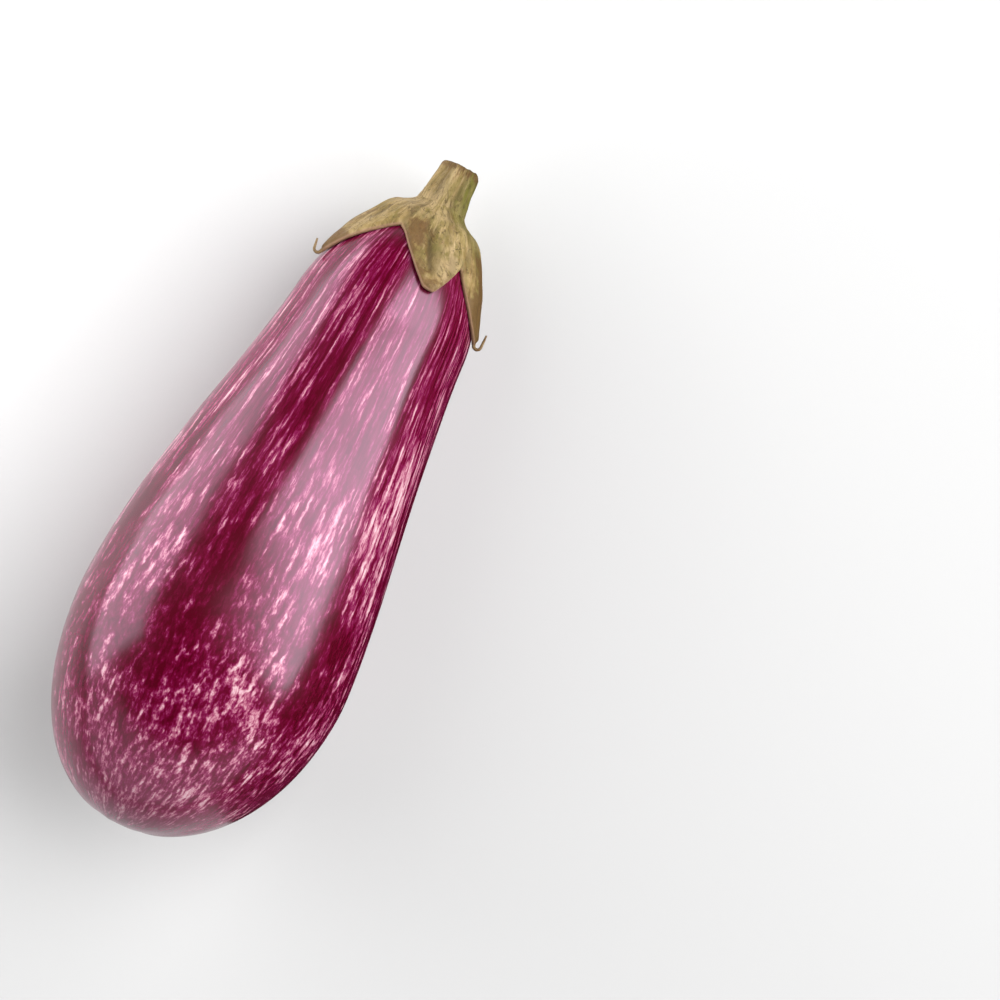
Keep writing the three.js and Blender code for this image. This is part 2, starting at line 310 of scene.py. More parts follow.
def with_ends(grid, first=0.0, last=0.0):
    """A grid's values in one row, between those of a closed body's two end points."""
    return np.concatenate([[first], grid.reshape((-1,) + grid.shape[2:]), [last]])


def make_piece(name, vertices, faces, attributes, material):
    mesh = bpy.data.meshes.new(name)
    mesh.from_pydata(place(vertices).tolist(), [], faces)
    mesh.update()
    for key, values in attributes.items():
        kind, field = ("FLOAT_VECTOR", "vector") if values.ndim == 2 else ("FLOAT", "value")
        data = mesh.attributes.new(key, kind, "POINT").data
        data.foreach_set(field, values.astype(np.float32).ravel())
    mesh.shade_smooth()
    mesh.materials.append(material)
    piece = bpy.data.objects.new(name, mesh)
    bpy.context.scene.collection.objects.link(piece)
    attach(piece, "root")
    return piece


class Graph:
    """Short calls for building a material's nodes."""

    def __init__(self, name):
        self.material = bpy.data.materials.new(name)
        self.material.use_nodes = True
        self.tree = self.material.node_tree
        self.surface = self.tree.nodes["Principled BSDF"]

    def node(self, kind, inputs=(), **settings):
        made = self.tree.nodes.new(kind)
        for key, value in settings.items():
            setattr(made, key, value)
        for key, value in dict(inputs).items():
            self.feed(made.inputs[key], value)
        return made

    def feed(self, socket, value):
        if isinstance(value, bpy.types.NodeSocket):
            self.tree.links.new(value, socket)
        else:
            socket.default_value = value

    def attribute(self, name, output="Vector"):
        return self.node("ShaderNodeAttribute", attribute_name=name).outputs[output]

    def maths(self, operation, a, b=0.0):
        return self.node("ShaderNodeMath", {0: a, 1: b}, operation=operation).outputs[0]

    def step(self, value, low, high, out_low=0.0, out_high=1.0):
        """A soft step from out_low to out_high as value goes from low to high."""
        inputs = {"Value": value, "From Min": low, "From Max": high,
                  "To Min": out_low, "To Max": out_high}
        return self.node("ShaderNodeMapRange", inputs, interpolation_type="SMOOTHSTEP").outputs[0]

    def vectors(self, operation, *terms):
        inputs = dict(enumerate(terms))
        return self.node("ShaderNodeVectorMath", inputs, operation=operation).outputs[0]

    def stretch(self, vector, x, y, z):
        return self.vectors("MULTIPLY", vector, (x, y, z))

    def noise(self, vector, detail=2.0, roughness=0.5, scale=1.0, warp=0.0, output="Fac"):
        inputs = {"Vector": vector, "Scale": scale, "Detail": detail,
                  "Roughness": roughness, "Distortion": warp}
        return self.node("ShaderNodeTexNoise", inputs).outputs[output]

    def ramp(self, value, stops):
        """The colour at a value, from stops of place and colour."""
        made = self.node("ShaderNodeValToRGB", {0: value})
        elements = made.color_ramp.elements
        while len(elements) < len(stops):
            elements.new(1.0)
        for element, (place_at, colour) in zip(elements, stops):
            element.position = place_at
            element.color = colour
        return made.outputs["Color"]

    def add(self, *terms):
        """The sum of values, each given with its share."""
        total = 0.0
        for value, share in terms:
            inputs = {0: value, 1: share, 2: total}
            total = self.node("ShaderNodeMath", inputs, operation="MULTIPLY_ADD").outputs[0]
        return total

    def blend(self, part, a, b):
        # Of this node's sockets, inputs 6 and 7 and output 2 are the colours
        mix = self.node("ShaderNodeMix", data_type="RGBA")
        self.feed(mix.inputs[0], part)
        self.feed(mix.inputs[6], a)
        self.feed(mix.inputs[7], b)
        return mix.outputs[2]

    def cover(self, colour, tone, *shares):
        """The colour with a tone laid over it, as strongly as the product of the shares."""
        part = shares[0]
        for share in shares[1:]:
            part = self.maths("MULTIPLY", part, share)
        return self.blend(part, colour, tone)

    def bump(self, height, strength, distance):
        inputs = {"Height": height, "Strength": strength, "Distance": distance}
        self.feed(self.surface.inputs["Normal"], self.node("ShaderNodeBump", inputs).outputs[0])

    def set(self, **values):
        for key, value in values.items():
            self.feed(self.surface.inputs[key.replace("_", " ")], value)


# Skin colours, linear
DEEP = (0.054, 0.0002, 0.0052, 1)
WINE = (0.095, 0.0007, 0.0165, 1)
MAGENTA = (0.148, 0.0068, 0.048, 1)
ROSE = (0.25, 0.047, 0.103, 1)
PINK = (0.39, 0.155, 0.208, 1)
CREAM = (0.55, 0.365, 0.395, 1)
DUSK = (0.21, 0.043, 0.084, 1)
SCAR = (0.15, 0.08, 0.03, 1)

# Lanes along the skin: angle, width, gain of pale marks, and the stations that they run between.
# They sway a little, and fade out over some millimetres beyond these stations
LANE_FADE = 12
LANE_SWAY = {"degrees": 3, "period": 26}
LANES = [
    (-15, 11, -0.078, 118, 178),
    (-12, 12, -0.065, 42, 76),
    (-12, 12, -0.024, 78, 112),
    (-55, 20, -0.070, 36, 74),
    (-55, 20, -0.034, 84, 108),
    (-55, 20, -0.024, 124, 178),
    (20, 15, -0.052, 112, 178),
    (24, 14, 0.024, 60, 110),
    (26, 16, 0.015, 44, 58),
    (30, 22, 0.018, 12, 40),
    # This lane and the bare ones up to 100 degrees thin the marks along the right flank, partly a
    # painted shade of that side
    (45, 12, -0.040, 42, 82),
    (58, 14, 0.094, 82, 114),
    (52, 13, -0.002, 118, 178),
    (76, 10, -0.030, 10, 110),
    (74, 10, -0.010, 122, 178),
    (100, 9, -0.030, 10, 150),
    (140, 12, 0.020, 30, 178),
    (-120, 10, 0.020, 0, 150),
    (-160, 12, -0.030, 20, 160),
]


def make_skin_material():
    """Dark magenta skin with pale dashes that run along the fruit and meet in a star at its end."""
    g = Graph("skin")
    place_on_skin = g.attribute("skin_place")
    spot = g.attribute("skin_spot")
    marks_and_shade = g.attribute("marks_and_shade", "Fac")
    end_reach = g.attribute("end_reach", "Fac")

    # The dashes waver a little
    wobble = g.noise(spot, scale=0.55, output="Color")
    wobble = g.stretch(g.vectors("SUBTRACT", wobble, (0.5, 0.5, 0.5)), 0.017, 0.017, 0.25)
    along = g.vectors("ADD", place_on_skin, wobble)

    streaks = g.noise(g.stretch(along, 23.0, 23.0, 0.50), detail=4.0, roughness=0.62)
    dashes = g.noise(g.stretch(along, 41.0, 41.0, 1.7), detail=4.0, roughness=0.68)
    clusters = g.noise(g.stretch(along, 3.1, 3.1, 0.16), detail=3.0)
    gathered = g.maths("SUBTRACT", clusters, 0.5)
    # The lanes' gain shifts the marks, and on the right flank it partly paints the shade of that
    # side
    mark = g.add((streaks, 0.52), (dashes, 0.48), (gathered, 0.26), (marks_and_shade, 1.0))
    colour = g.ramp(mark, [
        (0.38, DEEP), (0.475, WINE), (0.520, MAGENTA), (0.552, ROSE), (0.588, PINK), (0.648, CREAM),
    ])

    # The marks sink into a dusky tone round the blossom end
    colour = g.cover(colour, DUSK, g.step(end_reach, 14.0, 52.0, 0.42, 0.0))

    # A star of pale rays of uneven length, with a tinge of rose and a scar in its middle
    rays = g.noise(g.stretch(place_on_skin, 9.0, 9.0, 0.4), detail=4.0, roughness=0.68)
    ray_end = g.step(rays, 0.34, 0.70, 4.5, 14.0)
    star = g.step(g.maths("DIVIDE", end_reach, ray_end), 0.60, 1.15, 1.0, 0.0)
    tinge = g.noise(g.stretch(place_on_skin, 14.0, 14.0, 0.8), detail=4.0, roughness=0.7)
    ray_tone = g.cover(CREAM, ROSE, g.step(tinge, 0.40, 0.66), g.step(end_reach, 1.5, 9.0))
    colour = g.cover(colour, ray_tone, star, 0.85)
    scar_edge = g.add((end_reach, 1.0), (g.noise(spot, scale=0.9), 1.6))
    colour = g.cover(colour, SCAR, g.step(scar_edge, 1.9, 2.7, 1.0, 0.0))

    fine = g.noise(g.stretch(place_on_skin, 60.0, 60.0, 2.0))
    g.bump(g.add((fine, 0.4), (clusters, 1.0)), 0.06, 0.0006)
    patch = g.noise(spot, detail=3.0, scale=0.05)
    g.set(
        Base_Color=colour,
        Roughness=g.step(patch, 0.3, 0.7, 0.19, 0.27),
        Specular_IOR_Level=0.55,
        Specular_Tint=(1, 0.74, 0.95, 1),
    )
    return g.material


def marks_and_painted_shade(angle, station):
    """Above 0 where the pale marks crowd together, below 0 where the skin is almost bare; the bare
    lanes on the right flank are partly a painted shade of that side.
    """
    total = 0
    for lane, width, gain, low, high in LANES:
        sway = LANE_SWAY["degrees"] * np.sin(station / LANE_SWAY["period"] + lane)
        across = bell(signed_turn(np.degrees(angle) - lane - sway), width)
        along = between(station, low - LANE_FADE, high + LANE_FADE, LANE_FADE)
        total = total + gain * across * along
    return total


def from_belly_to_neck(form, station):
    return lerp(form["belly"], form["neck"], smooth(station, form["start"], form["end"]))


def make_fruit(material, rings=300, columns=300):
    # The rings lie closer together near both ends
    part = np.arange(1, rings) / rings
    part = part - SKIN_RING_CROWDING * np.sin(2 * np.pi * part) / (2 * np.pi)
    reach = TOTAL_REACH * part
    angle = 2 * np.pi * (np.arange(columns) + 0.5) / columns
    reach_grid, angle_grid = np.meshgrid(reach, angle, indexing="ij")
    points = skin_point(reach_grid, angle_grid)
    _, out = skin_frame(reach_grid, angle_grid)
    station = points[..., 0]

    # Shallow flutes that run the length of the neck, and a faint unevenness all over
    height = 0
    for seed, side in ((3, np.cos(angle_grid)), (4, np.sin(angle_grid))):
        across = side * UNEVENNESS["radius"]
        height = height + relief(across, station, {**UNEVENNESS, "seed": seed})
    fluted = smooth(station, FLUTES["start"], FLUTES["full"])
    fluted = fluted * smooth(FRUIT_LENGTH - station, 0, FLUTES["fade"])
    flutes = np.cos(FLUTES["count"] * angle_grid + FLUTES["phase"]) * fluted
    points = points + out * (height + FLUTES["height"] * flutes)[..., None]

    first, last = skin_point(0.0, 0.0), skin_point(TOTAL_REACH, 0.0)
    vertices, faces = closed_rings(first, points, last)
    vertices = press_flat(vertices)

    # Distance along the skin, counted in lengths of a dash
    middle = (station_at(reach[1:]) + station_at(reach[:-1])) / 2
    dashes = np.cumsum(np.diff(reach) / from_belly_to_neck(DASH_LENGTH, middle))
    flow = np.concatenate([[0], dashes])
    flow_grid = np.broadcast_to(flow[:, None], reach_grid.shape)
    crowding = from_belly_to_neck(DASH_CROWDING, station)
    place_on_skin = np.stack(
        [crowding * np.cos(angle_grid), crowding * np.sin(angle_grid), flow_grid], axis=-1)
    attributes = {
        "skin_place": with_ends(place_on_skin, [0, 0, 0], [0, 0, flow[-1]]),
        "skin_spot": vertices,
        "marks_and_shade": with_ends(marks_and_painted_shade(angle_grid, station), 0.0, 0.05),
        "end_reach": with_ends(TOTAL_REACH - reach_grid, TOTAL_REACH, 0.0),
    }
    piece = make_piece("eggplant_skin", vertices, faces, attributes, material)
    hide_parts("fruit")


# Calyx and stem colours, linear
TAN = (0.25, 0.168, 0.060, 1)
BEIGE = (0.40, 0.290, 0.150, 1)
OLIVE = (0.12, 0.088, 0.020, 1)
# A dark green, partly the tissue's own colour and partly a painted shade of the right side
DARK_GREEN_AND_SHADE = (0.092, 0.088, 0.006, 1)
RUST = (0.14, 0.062, 0.015, 1)
BROWN = (0.053, 0.031, 0.009, 1)
RIM_COLOUR = (0.26, 0.15, 0.09, 1)
WOOD = (0.13, 0.080, 0.028, 1)

# Brown, worn parts of the calyx and pale, dry ones, as angle, width and amount. The brown at 84
# degrees, over the right lobe, is partly a painted shade of that lobe
WORN_AND_SHADED_SIDES = [(-72, 22, 0.24), (-10, 13, 0.58), (84, 26, 0.66), (156, 20, 0.15), (222, 25, 0.25)]
PALE_SIDES = [(27, 11, 0.85), (-95, 12, 0.40), (140, 14, 0.60), (205, 12, 0.50), (240, 10, 0.50)]


def make_leaf_material(name):
    """Leathery tissue of the calyx and the stem, one look for both where they meet."""
    g = Graph(name)
    spot = g.attribute("tissue_place")
    rim = g.attribute("rim", "Fac")
    cut = g.attribute("cut", "Fac")
    painted_shade = g.attribute("painted_shade", "Fac")
    green_and_shade = g.attribute("green_and_shade", "Fac")
    worn_and_shade = g.attribute("worn_and_shade", "Fac")
    pale = g.attribute("pale", "Fac")

    patch = g.noise(g.stretch(spot, 1.0, 1.0, 0.45), detail=5.0, roughness=0.62, scale=0.20)
    colour = g.ramp(patch, [(0.36, OLIVE), (0.50, TAN), (0.64, BEIGE)])
    # Dark green patches that gather on the right side, partly the tissue's own colour and partly a
    # painted shade of that side
    greens = g.noise(
        g.stretch(spot, 1.0, 1.0, 0.35), detail=4.0, roughness=0.6, scale=0.16, warp=0.5)
    colour = g.cover(colour, DARK_GREEN_AND_SHADE, g.step(greens, 0.32, 0.56), green_and_shade)
    rust = g.noise(g.stretch(spot, 1.3, 1.3, 1.0), detail=5.0, roughness=0.7, scale=0.33)
    colour = g.cover(colour, RUST, g.step(rust, 0.54, 0.68), 0.6)
    dry = g.noise(g.stretch(spot, 1.0, 1.0, 0.5), detail=4.0, roughness=0.65, scale=0.5)
    colour = g.cover(colour, BEIGE, pale, g.step(dry, 0.36, 0.60))

    # Fibres and scuffs along the tissue, which fade under the dark green of the right side, partly
    # a painted shade of that side
    fibre = g.noise(g.stretch(spot, 1.0, 1.0, 0.14), detail=5.0, roughness=0.68, warp=0.3)
    colour = g.cover(colour, BROWN, g.step(fibre, 0.52, 0.70), 0.5)
    scuff = g.noise(g.stretch(spot, 1.0, 1.0, 0.12), detail=3.0, roughness=0.6, scale=2.3)
    colour = g.cover(colour, BEIGE, g.step(scuff, 0.55, 0.68), 0.5)
    green_and_shade_cover = g.step(green_and_shade, 0.40, 0.90, 0.0, 0.75)
    colour = g.cover(colour, DARK_GREEN_AND_SHADE, g.step(greens, 0.32, 0.52), green_and_shade_cover)

    # Fine scratches that run slantwise, in places
    turned = g.node(
        "ShaderNodeVectorRotate", {"Vector": spot, "Angle": 0.75}, rotation_type="X_AXIS")
    slanted = g.stretch(turned.outputs[0], 1.6, 1.6, 0.20)
    scratches = g.noise(slanted, detail=4.0, roughness=0.7, scale=0.9)
    scratched = g.step(g.noise(spot, scale=0.15), 0.42, 0.58)
    scratches = g.maths("MULTIPLY", g.step(scratches, 0.54, 0.64), scratched)
    colour = g.cover(colour, BROWN, scratches, 0.55)

    # Short crooked cracks, in places
    bend = g.noise(spot, detail=3.0, scale=0.4, output="Color")
    bent = g.vectors("MULTIPLY_ADD", bend, (3.5, 3.5, 3.5), spot)
    cracks = g.node(
        "ShaderNodeTexVoronoi", {"Vector": g.stretch(bent, 1.0, 1.0, 0.45), "Scale": 0.5},
        feature="DISTANCE_TO_EDGE")
    cracked = g.step(g.noise(spot, detail=3.0, scale=0.55), 0.48, 0.60)
    cracks = g.maths("MULTIPLY", g.step(cracks.outputs["Distance"], 0.0, 0.06, 1.0, 0.0), cracked)
    colour = g.cover(colour, BROWN, cracks, 0.75)

    # Specks, a painted shade in the creases, along the channel and under the blades, and brown
    # blotches on the worn parts, which on the right lobe are partly a painted shade of that lobe
    specks = g.node("ShaderNodeTexVoronoi", {"Vector": spot, "Scale": 0.75, "Randomness": 1.0})
    colour = g.cover(colour, BROWN, g.step(specks.outputs["Distance"], 0.08, 0.20, 0.7, 0.0))
    colour = g.cover(colour, BROWN, painted_shade, 0.62)
    grain = g.noise(spot, detail=5.0, roughness=0.7, scale=1.3)
    blotch = g.add((worn_and_shade, 1.0), (g.noise(spot, detail=4.0, roughness=0.65, scale=0.42), 1.3))
    colour = g.cover(colour, g.blend(grain, BROWN, RUST), g.step(blotch, 0.78, 1.18, 0.0, 0.85))
    colour = g.cover(colour, RIM_COLOUR, rim, 0.7)
    colour = g.cover(colour, g.cover(WOOD, BROWN, g.step(grain, 0.4, 0.62)), cut)

    height = g.add(
        (fibre, 0.9), (scuff, 0.35), (grain, 0.35), (cracks, -0.16), (scratches, -0.2),
        (patch, 0.8),
    )
    g.bump(height, 0.75, 0.0006)
    roughness = g.step(fibre, 0.3, 0.7, 0.50, 0.72)
    g.set(Base_Color=colour, Roughness=roughness, Specular_IOR_Level=0.28)
    return g.material


def green_and_shade_share(angle, reach):
    """The tissue is a dark green on the right side of the stem and yellower over the lobes, partly
    its own colour and partly a painted shade of the right side.
    """
    right = 0.5 + 0.5 * np.cos(angle - GREEN_AND_SHADE_ANGLE)
    stem = GREEN_AND_SHADE["least"] + GREEN_AND_SHADE["stem"] * right ** 1.5
    lobes = GREEN_AND_SHADE["least"] + GREEN_AND_SHADE["lobes"] * right ** 2
    return lerp(stem, lobes, smooth(reach, GREEN_AND_SHADE["start"], GREEN_AND_SHADE["end"]))


def tissue_place(turn, reach):
    """Where the patterns of the tissue are looked up."""
    place_on_tube = [TISSUE_RADIUS * np.cos(turn), TISSUE_RADIUS * np.sin(turn), reach]
    return with_ends(np.stack(place_on_tube, axis=-1), [0, 0, 0], [0, 0, 0])


def pale_collar(reach):
    return PALE_COLLAR["amount"] * bell(reach - PALE_COLLAR["reach"], PALE_COLLAR["width"])


def worn_end(distance, form):
    return form["amount"] * smooth(distance, form["start"], form["end"])


def calyx_rays(per_side=44):
    """What the calyx is built on: rays with their angle, outer edge, share of the way from the
    lobe's tip to the notch, and lift.
    """
    rows = []
    for index, lobe in enumerate(LOBES):
        before = LOBES[index - 1]["notch"]
        turn = 360 if index == 0 else 0
        near = lobe["swell"], lobe["taper"]
        far = lobe.get("far_swell", near[0]), lobe.get("far_taper", near[1])
        sides = (
            (before["angle"] - turn, before["reach"], np.arange(per_side, 0, -1), near),
            (lobe["notch"]["angle"], lobe["notch"]["reach"], np.arange(per_side), far),
        )
        for notch_angle, notch_reach, steps, (swell, taper) in sides:
            aside = (steps / per_side) ** LOBE_RAY_CROWDING
            point = (1 - aside ** swell) ** taper
            edge = lerp(notch_reach, lobe["reach"], point)
            if "blunt" in lobe:
                over = edge - lobe["blunt"]
                edge = edge - (over + np.hypot(over, BLUNTING["softness"])) / 2
                edge = edge + BLUNTING["gain"]
            degrees = lerp(lobe["angle"], notch_angle, aside)
            rows.append(np.stack([degrees, edge, aside, np.full(per_side, lobe["lift"])]))
    return np.concatenate(rows, axis=1)


def channel(degrees, reach, width, start):
    """The share of the front lobe's channel, which runs slantwise over the blade."""
    centre = CHANNEL["angle"] + CHANNEL["lean"] * (reach - CHANNEL["middle"])
    return bell(degrees - centre, width) * between(reach, start, CHANNEL["end"], CHANNEL["fade"])


def blade_thickness(degrees, reach, aside):
    collar = COLLAR_SWELL["height"] * bell(reach - COLLAR_REACH, COLLAR_SWELL["width"])
    rib = MIDRIB["height"] * bell(aside, MIDRIB["width"])
    thinning = TIP_THINNING["depth"] * smooth(reach, TIP_THINNING["start"], TIP_THINNING["end"])
    groove = CHANNEL["depth"] * channel(degrees, reach, CHANNEL["width"], CHANNEL["start"])
    return BLADE_THICKNESS + collar + rib - thinning - groove


def hook_tube(lobe, steps=40, sides=12):
    """Rings of the thin spine that leaves a lobe's tip, turns up off the skin and runs on."""
    foot = lobe["reach"] - HOOK["root"]
    angle = math.radians(lobe["angle"])
    along, out = skin_frame(foot, angle)
    across = np.cross(along, out)
    turn = math.radians(lobe["hook"]["turn"])
    bend_length = HOOK["bend_radius"] * turn
    step = (HOOK["root"] + bend_length + lobe["hook"]["end"]) / steps
    centre = raised_point(foot, angle, SKIN_GAP + lobe["lift"] + BLADE_THICKNESS / 3)
    first, rings = centre.copy(), []
    round_angle = 2 * np.pi * np.arange(sides)[:, None] / sides
    for i in range(steps + 1):
        bend = turn * float(np.clip((i * step - HOOK["root"]) / bend_length, 0, 1))
        upright = out * math.cos(bend) - along * math.sin(bend)
        radius = lerp(HOOK["radius"], HOOK["tip_radius"], (i / steps) ** 1.5)
        circle = across * np.cos(round_angle) + upright * np.sin(round_angle)
        rings.append(centre + radius * circle)
        centre = centre + step * (along * math.cos(bend) + out * math.sin(bend))
    return closed_rings(first, np.array(rings), rings[-1].mean(axis=0))


def make_calyx(material, top_rings=70, bottom_rings=16):
    degrees, edge, aside, lift = calyx_rays()
    angle = np.radians(degrees)
    edge = edge + relief(degrees, 0, RAGGED_EDGE) * smooth(aside, 0.04, 0.3)

    def sheet(part, thickness_share):
        """One side of the blades: points, reach, distance to the edge, and the painted shade of its
        creases and channel.
        """
        reach = lerp(COLLAR_REACH, edge[None, :], part[:, None])
        turn = np.broadcast_to(angle[None, :], reach.shape)
        gap = SKIN_GAP + lift * part[:, None] ** 3 * (1 - aside)
        thick = blade_thickness(np.degrees(turn), reach, aside)
        across = turn * CREASE_RADIUS
        creases, dents = relief(across, reach, CREASES), relief(across, reach, DENTS)
        thick = thick + (creases + dents) * smooth(part[:, None], 0.0, 0.12)
        to_edge = (1 - part[:, None]) * (edge - COLLAR_REACH)
        thick = lerp(np.minimum(thick, RIM["thickness"]), thick, smooth(to_edge, 0, RIM["width"]))
        rounding = 1 - (1 - np.clip(to_edge / RIM["rounding"], 0, 1)) ** 2
        thick = thick * lerp(RIM["edge_share"], 1, np.sqrt(np.clip(rounding, 0, 1)))

        # Painted shade: darker in the creases and dents, fading out at the edge, and along the
        # front lobe's channel
        painted_shade = np.clip(-creases * CREASES["shade"] - dents * DENTS["shade"], 0, 0.7)
        groove = channel(np.degrees(turn), reach, CHANNEL["shade_width"], CHANNEL["shade_start"])
        painted_shade = np.maximum(painted_shade * smooth(to_edge, 0.0, 0.6), CHANNEL["shade"] * groove)
        return raised_point(reach, turn, gap + thickness_share * thick), reach, to_edge, painted_shade

    # The rings lie closer together near the edge
    top_part = 1 - (1 - np.arange(top_rings + 1) / top_rings) ** BLADE_RING_CROWDING
    bottom_part = np.arange(bottom_rings, -1, -1) / bottom_rings
    top, top_reach, top_edge, top_painted_shade = sheet(top_part, 1.0)
    bottom, bottom_reach, bottom_edge, _ = sheet(bottom_part, 0.0)

    # The collar rises in a hollow curve from the blades up the side of the stem
    rise = np.linspace(0, 1, COLLAR_RINGS + 1)[:-1, None]
    foot_station, foot_y, foot_z = top[0].T
    foot_radius = np.hypot(foot_y + NECK_SWAY, foot_z - NECK_RISE)
    station = lerp(COLLAR_TOP["station"], foot_station, rise ** COLLAR_RISE)
    radius = lerp(COLLAR_TOP["radius"], foot_radius, rise ** COLLAR_HOLLOW)
    collar = about_axis(station, radius, angle[None, :])
    collar_reach = np.broadcast_to(lerp(COLLAR_TOP["reach"], COLLAR_REACH, rise), station.shape)

    rings = np.concatenate([collar, top, bottom])
    first = about_axis(COLLAR_TOP["station"], 0.0, 0.0)
    last = about_axis(station_at(0) + SKIN_GAP, 0.0, 0.0)
    vertices, faces = closed_rings(first, rings, last)

    reach = np.concatenate([collar_reach, top_reach, bottom_reach])
    to_edge = np.concatenate([np.full(station.shape, FAR_FROM_EDGE), top_edge, bottom_edge])
    collar_painted_shade = np.broadcast_to(top_painted_shade[0], station.shape)
    # Painted shade: the collar takes that of the blades' foot, and the underside of the blades gets
    # an even painted shade
    painted_shade = np.concatenate([collar_painted_shade, top_painted_shade, np.full(bottom_reach.shape, 0.5)])
    turn = np.broadcast_to(angle, reach.shape)

    def on_sides(sides):
        total = 0
        for middle, width, amount in sides:
            total = total + amount * bell(signed_turn(np.degrees(turn) - middle), width)
        return total

    lobes = smooth(reach, *LOBE_ROOTS)
    attributes = {
        "tissue_place": tissue_place(turn, reach),
        "rim": with_ends(1 - smooth(to_edge, 0.15, 0.6)),
        "cut": with_ends(reach * 0),
        "painted_shade": with_ends(painted_shade),
        "worn_and_shade": with_ends(worn_end(reach, WORN_TIPS) + on_sides(WORN_AND_SHADED_SIDES) * lobes),
        "pale": with_ends(on_sides(PALE_SIDES) * lobes + pale_collar(reach) * (1 - lobes)),
        "green_and_shade": with_ends(green_and_shade_share(turn, reach)),
    }
    for lobe in LOBES:
        if "hook" not in lobe:
            continue
        hook_vertices, hook_faces = hook_tube(lobe)
        faces += [tuple(v + len(vertices) for v in face) for face in hook_faces]
        vertices = np.concatenate([vertices, hook_vertices])
        for key, values in attributes.items():
            own = hook_vertices
            if key != "tissue_place":
                own = np.full(len(hook_vertices), HOOK_LOOK[key])
            attributes[key] = np.concatenate([values, own])

    piece = make_piece("eggplant_calyx", vertices, faces, attributes, material)
    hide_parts("calyx")


def make_stem(material, rings=70, columns=160):
    # The outline runs up the side, round the edge of the cut and into its dish
    edge_start = STEM_END - STEM_EDGE
    angle = 2 * np.pi * np.arange(columns) / columns
    side = np.linspace(STEM_START, edge_start, rings)
    side_radius = lerp(STEM_BASE_RADIUS, STEM_TIP_RADIUS, np.linspace(0, 1, rings))
    turn = np.linspace(0, np.pi / 2, 10)[1:]
    edge = edge_start + STEM_EDGE * np.sin(turn)
    edge_radius = STEM_TIP_RADIUS - STEM_EDGE * (1 - np.cos(turn))
    inward = np.linspace(1, 0, 12)[1:-1]
    face = STEM_END - CUT_DISH * (1 - inward ** 2)
    face_radius = edge_radius[-1] * inward
    station = np.concatenate([side, edge, face])[:, None]
    radius = np.concatenate([side_radius, edge_radius, face_radius])[:, None]

    ribbed = smooth(station, STEM_RIBS["start"], STEM_RIBS["start"] + STEM_RIBS["fade"])
    rib_turn = STEM_RIBS["count"] * angle + STEM_RIBS["twist"] * (station - STEM_START)
    rib = ribbed * np.cos(rib_turn)
    across = angle * STEM_FIBRE_RADIUS
    fibres, dents = relief(across, station, STEM_FIBRES), relief(across, station, STEM_DENTS)
    # Painted shade in the valleys between the stem's ribs and along its fibres
    painted_shade = np.clip(-rib * STEM_RIBS["shade"] - fibres * STEM_FIBRES["shade"], 0, 0.8)
    height = STEM_RIBS["height"] * rib + fibres + dents * ribbed
    radius = radius + height * radius / STEM_BASE_RADIUS
    cut = np.concatenate([np.zeros(len(side)), np.linspace(0, 1, len(edge)) ** 2,
                          np.ones(len(face))])[:, None]
    rough = relief(radius * np.cos(angle), radius * np.sin(angle), CUT_ROUGHNESS)
    station = station + rough * cut

    # The rings start in the middle of the cut
    vertices, faces = closed_rings(
        about_axis(STEM_END - CUT_DISH, 0.0, 0.0),
        about_axis(station, radius, angle[None, :])[::-1],
        about_axis(STEM_START, 0.0, 0.0),
    )
    turn = np.broadcast_to(angle, station.shape)
    reach = COLLAR_REACH - (station - COLLAR_STATION)
    cut = np.broadcast_to(cut, station.shape)
    attributes = {
        "tissue_place": tissue_place(turn, reach[::-1]),
        "rim": with_ends(reach * 0),
        "cut": with_ends(cut[::-1], 1.0, 0.0),
        "painted_shade": with_ends((painted_shade * (1 - cut))[::-1]),
        "worn_and_shade": with_ends(worn_end(station, WORN_STEM_END)[::-1]),
        "pale": with_ends(pale_collar(reach)[::-1]),
        "green_and_shade": with_ends(green_and_shade_share(turn, reach)[::-1]),
    }
    piece = make_piece("eggplant_stem", vertices, faces, attributes, material)
    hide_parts("stem")


def make_camera():
    """Looks square at the fruit's axis, with the fruit where the photograph has it in its frame."""
    pixel = SENSOR / LENS / PICTURE
    ray = np.array([(AIM_PIXEL[0] - PICTURE / 2) * pixel, (PICTURE / 2 - AIM_PIXEL[1]) * pixel])
    lean = np.array([math.sin(AXIS_LEAN), math.cos(AXIS_LEAN)])
    across = np.linalg.solve(np.eye(2) + np.outer(ray, ray), lean)
    sight = unit(np.array([*ray, -1]))
    upward = unit(np.array([*across, across @ ray]))
    seen = np.stack([sight, upward, np.cross(sight, upward)])
    world_sight = -np.array(ABOVE)
    world = np.stack([world_sight, np.array(AXIS), np.cross(world_sight, np.array(AXIS))])
    turn = Matrix((world.T @ seen).tolist())
    aim = aim_point()
    camera = bpy.data.objects.new("camera", bpy.data.cameras.new("camera"))
    camera.data.lens = LENS
    camera.data.sensor_width = SENSOR
    distance = PIXEL_MM / pixel * MM
    camera.matrix_world = Matrix.Translation(aim + ABOVE * distance) @ turn.to_4x4()
    bpy.context.scene.collection.objects.link(camera)
    bpy.context.scene.camera = camera


def hang_light(name, middle, back, side, width, height, radiance, mirrored=True):
    """A soft rectangular light that shines away from back, with its width along side, in metres."""
    data = bpy.data.lights.new(name, "AREA")
    data.shape = "RECTANGLE"
    data.size, data.size_y = width, height
    data.energy = radiance * math.pi * width * height
    light = bpy.data.objects.new(name, data)
    turn = Matrix((side, back.cross(side), back)).transposed()
    light.matrix_world = Matrix.Translation(middle) @ turn.to_4x4()
    light.visible_camera = False
    light.visible_glossy = mirrored
    bpy.context.scene.collection.objects.link(light)


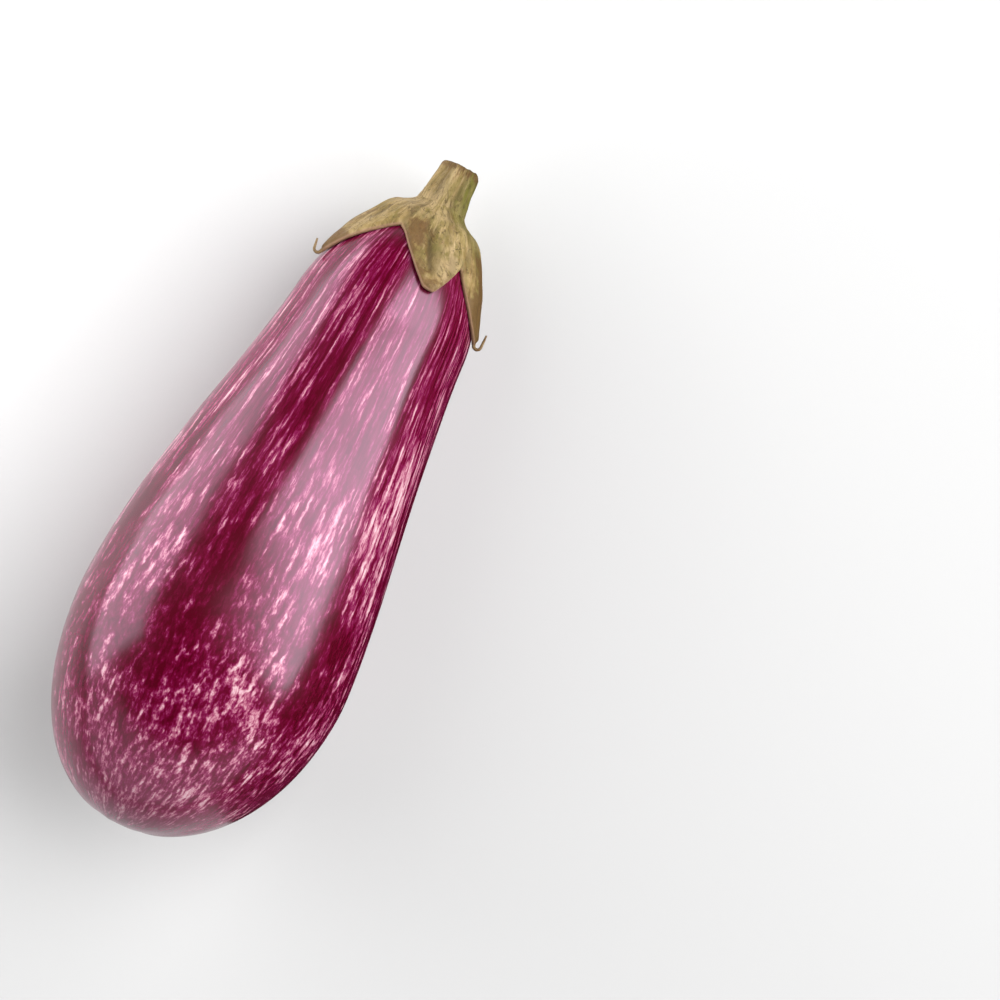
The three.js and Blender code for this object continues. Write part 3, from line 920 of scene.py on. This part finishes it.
def make_studio():
    # A large box high on the right, dimmer along its foot
    aim = aim_point()
    azimuth, distance = math.radians(30.5), 1.6
    back = ABOVE * math.cos(azimuth) + RIGHT * math.sin(azimuth)
    roll = Matrix.Rotation(math.radians(-16), 3, back)
    side, width = roll @ AXIS.cross(back), 1.65 * distance
    windows = (("window_right", 0.17, 1.11, 8.2), ("window_foot", 0.04, 0.17, 4.0))
    for name, foot, head, radiance in windows:
        middle = aim + (back + roll @ AXIS * (foot + head) / 2) * distance
        hang_light(name, middle, back, side, width, (head - foot) * distance, radiance)

    # A low panel close to the left flank, its top edge sloping down to the stem end
    slope = math.radians(30)
    side = Vector((-math.cos(slope), 0, math.sin(slope)))
    hang_light("panel_left", Vector((0.060, 0.200, 0.066)), -RIGHT, side, 0.35, 0.165, 4.3)

    # A card beyond the blossom end
    back = (ABOVE * 0.38 - AXIS).normalized()
    hang_light("front_card", back * 1.2, back, RIGHT, 5.0, 0.95, 1.0)

    # A fill high on the left that softens the shadow and isn't mirrored
    back = Vector((0.1, 0.75, 0.65)).normalized()
    side = back.orthogonal().normalized()
    hang_light("fill_left", back * 1.5, back, side, 1.4, 1.4, 2.0, mirrored=False)

    # A pale backdrop that lights nothing
    world = bpy.data.worlds.new("studio")
    world.use_nodes = True
    background = world.node_tree.nodes["Background"]
    background.inputs["Color"].default_value = (1, 1, 1, 1)
    background.inputs["Strength"].default_value = 0.85
    world.cycles_visibility.diffuse = False
    world.cycles_visibility.glossy = False
    bpy.context.scene.world = world
    bpy.context.scene.view_settings.view_transform = "Standard"

    # A floor in two parts. The skin mirrors the left one alone, so its right flank stays dark
    g = Graph("floor")
    g.set(Base_Color=(0.49, 0.49, 0.49, 1), Roughness=0.85, Specular_IOR_Level=0.2)
    half, level = 3.0, -0.00005
    corners = [
        (-0.05, 0), (-half, -half), (half, -half), (half, 0),
        (half, half), (-half, half), (-half, 0),
    ]
    parts = (
        ("floor_right", [(0, 1, 2, 3)], False),
        ("floor_left", [(6, 0, 3, 4, 5), (6, 1, 0)], True),
    )
    for name, faces, mirrored in parts:
        mesh = bpy.data.meshes.new(name)
        mesh.from_pydata([(x, y, level) for x, y in corners], [], faces)
        mesh.materials.append(g.material)
        floor = bpy.data.objects.new(name, mesh)
        floor.visible_glossy = mirrored
        bpy.context.scene.collection.objects.link(floor)


make_fruit(make_skin_material())
make_calyx(make_leaf_material("calyx"))
make_stem(make_leaf_material("stem"))
make_studio()
make_camera()
